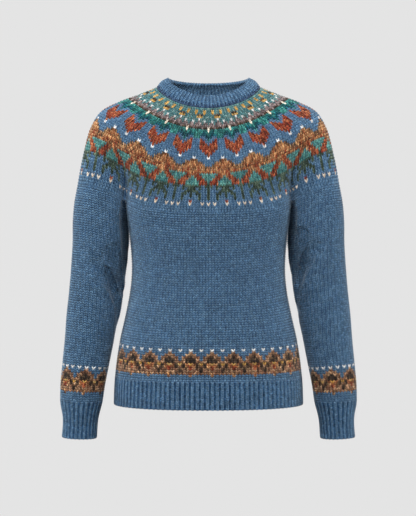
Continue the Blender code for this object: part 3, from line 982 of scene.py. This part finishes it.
# Mesh lines round the inner side of each piece.
YOKE_LINING = 160
BODY_LINING = 96
SLEEVE_LINING = 48
CUFF_LINING = 36

BODY_STITCHES = 144
BODY_ROWS = 71
BODY_SPLIT = 38.5
BODY_BAND_FROM = 0.8083  # where the white round above the band is, as a share of the height
HEM_RIBS = 107
HEM_ROWS = 12

SLEEVE_TOP = 58  # stitches round the sleeve at the underarm
SLEEVE_FOOT = 42  # and above the cuff
SLEEVE_ROWS = 91
TAPER_ROWS = 66  # rounds over which the sleeve loses stitches
SLEEVE_BAND_FROM = 0.834  # the same for the sleeve
CUFF_RIBS = 27
CUFF_ROWS = 16

BAND_RIBS = 80
BAND_ROWS = 7
BAND_TOP = 0.07  # where the neckband's edge begins to roll over, as a share of its height
BAND_INSIDE = 0.8  # how much of the relief, and of the painted shade in its hollows, the neckband's inner side has
FOLD_LENGTH = BAND_WALL / 2 * MM  # what the fold adds to the length of the neckband's cut


def piece(name, node, slot, rings, knitted, cut, held, mirrored):
    """A finished piece in place of a node. Its cut, the width, length and area of the flat cloth, with the
    width all round on a tube, is not used."""
    made = shell(name, rings, mirrored)
    sizes = {"Depth": knitted.depth, "Unevenness": UNEVENNESS, "Seed": LUMPS_SEED}
    made = applied(made, knitted.tree, Wool=knitted.wool, **sizes)
    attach(made, "root")
    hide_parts(node)


def tube_cut(form, first, last, edge=0.0):
    """The cut of a tube between two rows of its form: its longest round, length and area."""
    rows = [first, *range(int(first) + 1, math.ceil(last)), last]
    columns = np.zeros(form.points.shape[1])
    part = np.stack([along(form.points, columns + row) for row in rows]) * MM
    rounds = np.linalg.norm(np.diff(np.concatenate((part, part[:, :1]), axis=1), axis=1), axis=-1)
    lengths = np.linalg.norm(np.diff(part, axis=0), axis=-1).sum(axis=0) + edge
    rounds = rounds.sum(axis=1)
    return float(rounds.max()), float(lengths.max()), float(rounds.mean() * lengths.mean())


def knit_tube(outer, lining, thick, rolls):
    """A closed loop of rings from the outer and inner side of a tube, with its two edges. An
    edge of the garment rolls over by so many millimetres."""
    outer, rim = list(outer), []
    if rolls[1]:
        outer[-1] = outer[-1]._replace(ends=False)
        outer += rim_rings(outer[-1], thick, rolls[1], True)
    if rolls[0]:
        outer[0] = outer[0]._replace(ends=False)
        rim = rim_rings(outer[0], thick, rolls[0], False)[::-1]
    return outer + list(reversed(lining)) + rim


def tube_piece(name, node, slot, knitted, held, outer, form, ends, rolls=(0, 0), mirrored=False):
    """A piece with plain knitting inside. Its inner side and its cut come from a coarser form."""
    rings = knit_tube(outer, lining_rings(form, *ends), WALL, rolls)
    piece(name, node, slot, rings, knitted, tube_cut(form, *ends), held, mirrored)


def outer_shares(lines, around):
    """Shares of the round for each mesh line, with stitch 0 centred on the front middle."""
    place, _ = line_places(lines, around)
    return (place - 0.5) / around


def coarse_shares(around):
    return (np.arange(around) - 0.5) / around


def row_places(rows, band_rows, band_from):
    """Where each round lies from top (0) to bottom (1), when those of the band differ."""
    above = np.linspace(0, band_from, rows - band_rows + 1)
    return np.concatenate((above[:-1], np.linspace(band_from, 1, band_rows + 1)))


def yoke_pieces():
    """The yoke's three groups of rounds are three forms on the same surface. They are made as
    two meshes, split in the last group, where the same knitting goes on."""
    total = sum(len(chart) for chart in YOKE_CHARTS)
    lean = YOKE_STOCKING.lean
    upper, start = [], 0
    for chart in YOKE_CHARTS:
        around = YOKE_REPEATS * len(chart[0])
        rows = np.arange(start, start + len(chart) + 1) / total
        between = all(line == line[::-1] for line in chart)
        shares = outer_shares(STITCH_LINES, around) + between * 0.5 / around
        form = make_form(yoke_round, rows, shares)
        colours = legs(charted(chart, around, len(chart[0]) // 2), SEEDS["yoke"] + start)
        end = min(len(chart), YOKE_SPLIT - start)
        level = (True, end == len(chart))
        rings = stitch_rings(form, STITCH_LINES, (0, end), colours, lean, level)
        upper += rings[1:] if start else rings
        start += len(chart)
    # What is left of the last group begins the lower mesh.
    lower = stitch_rings(form, STITCH_LINES, (end, len(chart)), colours, lean, (False, True))
    lining_form = make_form(yoke_round, np.arange(total + 1) / total, coarse_shares(YOKE_LINING))
    for part, outer, ends in (("upper", upper, (0, YOKE_SPLIT)), ("lower", lower, (YOKE_SPLIT, total))):
        outer[1:-1] = [ring._replace(ends=False) for ring in outer[1:-1]]
        slot, held = "yoke_colourwork", "draped"
        tube_piece("yoke_" + part, "yoke", slot, YOKE_STOCKING, held, outer, lining_form, ends)


def body_pieces():
    rows = row_places(BODY_ROWS, len(HEM_CHART), BODY_BAND_FROM)
    at = body_round(None, HEM_SEAM)
    form = make_form(at, rows, outer_shares(STITCH_LINES, BODY_STITCHES))
    lining_form = make_form(at, rows, coarse_shares(BODY_LINING))
    above = plain(BODY_ROWS - len(HEM_CHART), BODY_STITCHES)
    band = charted(HEM_CHART, BODY_STITCHES, HEM_PEAK)
    colours = legs(np.concatenate((above, band)), SEEDS["body"])
    for part, ends in (("upper", (0, BODY_SPLIT)), ("lower", (BODY_SPLIT, BODY_ROWS))):
        level = (part == "upper", part == "lower")
        outer = stitch_rings(form, STITCH_LINES, ends, colours, STOCKING.lean, level)
        tube_piece("body_" + part, "body", "wool_blue", STOCKING, "hung", outer, lining_form, ends)


def rib_piece(name, node, at, rounds, ribs, lining_lines, seed, mirrored=False):
    """The hem rib or a cuff, from its seam to its edge."""
    rows = np.arange(rounds + 1) / rounds
    form = make_form(at, rows, outer_shares(RIB_LINES, ribs))
    lining_form = make_form(at, rows, coarse_shares(lining_lines))
    colours = legs(plain(rounds, ribs), seed, RIB_COLUMNS)
    ends, rolls = (0, rounds), (0, EDGE_ROLL)
    outer = stitch_rings(form, RIB_LINES, ends, colours, RIBBING.lean, fade=0)
    tube_piece(name, node, "wool_rib", RIBBING, "hung", outer, lining_form, ends, rolls, mirrored)


def sleeve_piece(side, mirrored):
    """The rounds lose stitches along the underarm, so columns run out there."""
    at = sleeve_round(None, CUFF_SEAM, FOLDS[side])
    rows = row_places(SLEEVE_ROWS, len(CUFF_CHART), SLEEVE_BAND_FROM)
    tapering = np.clip(np.arange(SLEEVE_ROWS + 1) / TAPER_ROWS, 0, 1)
    stitches = SLEEVE_TOP - (SLEEVE_TOP - SLEEVE_FOOT) * tapering
    place, _ = line_places(STITCH_LINES, SLEEVE_TOP)
    shares = np.clip((place - SLEEVE_TOP / 2) / stitches[:, None], -0.5, 0.5)
    form = make_form(at, rows, shares)
    lining_form = make_form(at, rows, np.arange(SLEEVE_LINING) / SLEEVE_LINING - 0.5)
    above = plain(SLEEVE_ROWS - len(CUFF_CHART), SLEEVE_TOP)
    band = charted(CUFF_CHART, SLEEVE_TOP, SLEEVE_TOP // 2)
    colours = legs(np.concatenate((above, band)), SEEDS["sleeve"] + mirrored)
    ends = (0, SLEEVE_ROWS)
    outer = stitch_rings(form, STITCH_LINES, ends, colours, SLEEVE_STOCKING.lean, held=stitches / 2)
    name, node, knitted = "sleeve_knit_" + side, "sleeve_" + side, SLEEVE_STOCKING
    tube_piece(name, node, "wool_blue", knitted, "hung", outer, lining_form, ends, mirrored=mirrored)


def neck_piece():
    """The neckband is ribbed on both sides. Outside, its ribs die away at the seam, and its lowest
    round is in deep blue, as is every other column of the round above."""
    rows = BAND_TOP + (1 - BAND_TOP) * np.arange(BAND_ROWS + 1) / BAND_ROWS
    form = make_form(band_round, rows, outer_shares(RIB_LINES, BAND_RIBS))
    letters = plain(BAND_ROWS, BAND_RIBS * RIB_COLUMNS)
    letters[-2, ::2] = "n"
    letters[-1] = "n"
    ends, lean = (0, BAND_ROWS), NECK_RIBBING.lean
    outer = stitch_rings(form, RIB_LINES, ends, legs(letters, SEEDS["band"], 1), lean, fade=BAND_ROWS)
    inner = legs(plain(BAND_ROWS, BAND_RIBS), SEEDS["band_lining"], RIB_COLUMNS)
    lining = stitch_rings(form, RIB_LINES, ends, inner, lean, inside=BAND_WALL)
    for k, ring in enumerate(lining[:-1]):
        lining[k] = ring._replace(relief=ring.relief * BAND_INSIDE, ends=False)
    rings = knit_tube(outer, lining, BAND_WALL, (BAND_WALL / 2, 0))
    cut = tube_cut(form, 0, BAND_ROWS, FOLD_LENGTH)
    piece("neck_ribbing", "neckband", "wool_rib", rings, NECK_RIBBING, cut, "draped", False)


yoke_pieces()
body_pieces()
hem = body_round(HEM_SEAM, HEM_EDGE)
rib_piece("hem_ribbing", "hem_rib", hem, HEM_ROWS, HEM_RIBS, BODY_LINING, SEEDS["hem"])
cuff = sleeve_round(CUFF_SEAM, CUFF_EDGE)
for side, mirrored in (("left", False), ("right", True)):
    sleeve_piece(side, mirrored)
    sizes = CUFF_ROWS, CUFF_RIBS, CUFF_LINING, SEEDS["cuff"] + mirrored
    rib_piece("cuff_ribbing_" + side, "cuff_" + side, cuff, *sizes, mirrored)
neck_piece()

# ---------------------------------------------------------------- studio

FLOOR = -1.15
FLOOR_REACH = 60.0  # so far that its edge doesn't show against the backdrop
BACKDROP = linear("#e4e4e4")
CAMERA = (-0.0009, -2.28, -0.318)
CAMERA_LENS = 85  # in millimetres, as is the height of its film
CAMERA_FILM = 36
LIGHTS_AIM = Vector((0, 0, -0.3))
LIGHTS_AWAY = 2.6
LIGHTS_WIDE = 1.2

# Soft lamps by their bearing from the front, positive towards +X, and their height, in degrees.
# The last two light the back.
LAMPS = table(
    "name bearing height watts",
    ("left_side", -74, 12, 36),
    ("right_side", 74, 12, 26),
    ("left_front", -18, 33, 38),
    ("right_front", 18, 33, 31),
    ("top", 0, 65, 5),
    ("back_left", -155, 20, 45),
    ("back_right", 155, 20, 35),
)


def studio():
    """The backdrop and the floor, which light nothing, the lamps and the camera."""
    scene = bpy.context.scene
    scene.view_settings.view_transform = "Standard"
    world = bpy.data.worlds.new("studio")
    scene.world = world
    world.use_nodes = True
    world.node_tree.nodes["Background"].inputs["Color"].default_value = (*BACKDROP, 1)
    world.cycles_visibility.diffuse = False
    world.cycles_visibility.glossy = False

    mesh = bpy.data.meshes.new("floor")
    signs = ((-1, -1), (1, -1), (1, 1), (-1, 1))
    mesh.from_pydata([(x * FLOOR_REACH, y * FLOOR_REACH, FLOOR) for x, y in signs], [], [(0, 1, 2, 3)])
    floor = placed("floor", mesh)
    floor.visible_diffuse = False
    floor.visible_glossy = False
    paper = bpy.data.materials.new("studio_paper")
    paper.use_nodes = True
    tree = paper.node_tree
    tree.nodes.remove(tree.nodes["Principled BSDF"])
    glow = add(tree, "ShaderNodeEmission", {"Color": (*BACKDROP, 1), "Strength": 1.0})
    tree.links.new(glow.outputs[0], tree.nodes["Material Output"].inputs["Surface"])
    mesh.materials.append(paper)

    for name, bearing, height, watts in LAMPS:
        data = bpy.data.lights.new(name, "AREA")
        data.shape = "DISK"
        data.size = LIGHTS_WIDE
        data.energy = watts
        around, up = math.radians(bearing), math.radians(height)
        aside = Vector((math.sin(around) * math.cos(up), -math.cos(around) * math.cos(up), math.sin(up)))
        made = placed(name, data)
        made.location = LIGHTS_AIM + aside * LIGHTS_AWAY
        made.rotation_euler = aside.to_track_quat("Z", "Y").to_euler()

    data = bpy.data.cameras.new("camera")
    data.lens = CAMERA_LENS
    data.sensor_fit = "VERTICAL"
    data.sensor_height = CAMERA_FILM
    scene.camera = placed("camera", data)
    scene.camera.location = CAMERA
    scene.camera.rotation_euler = (HALF_TURN / 2, 0, 0)


studio()
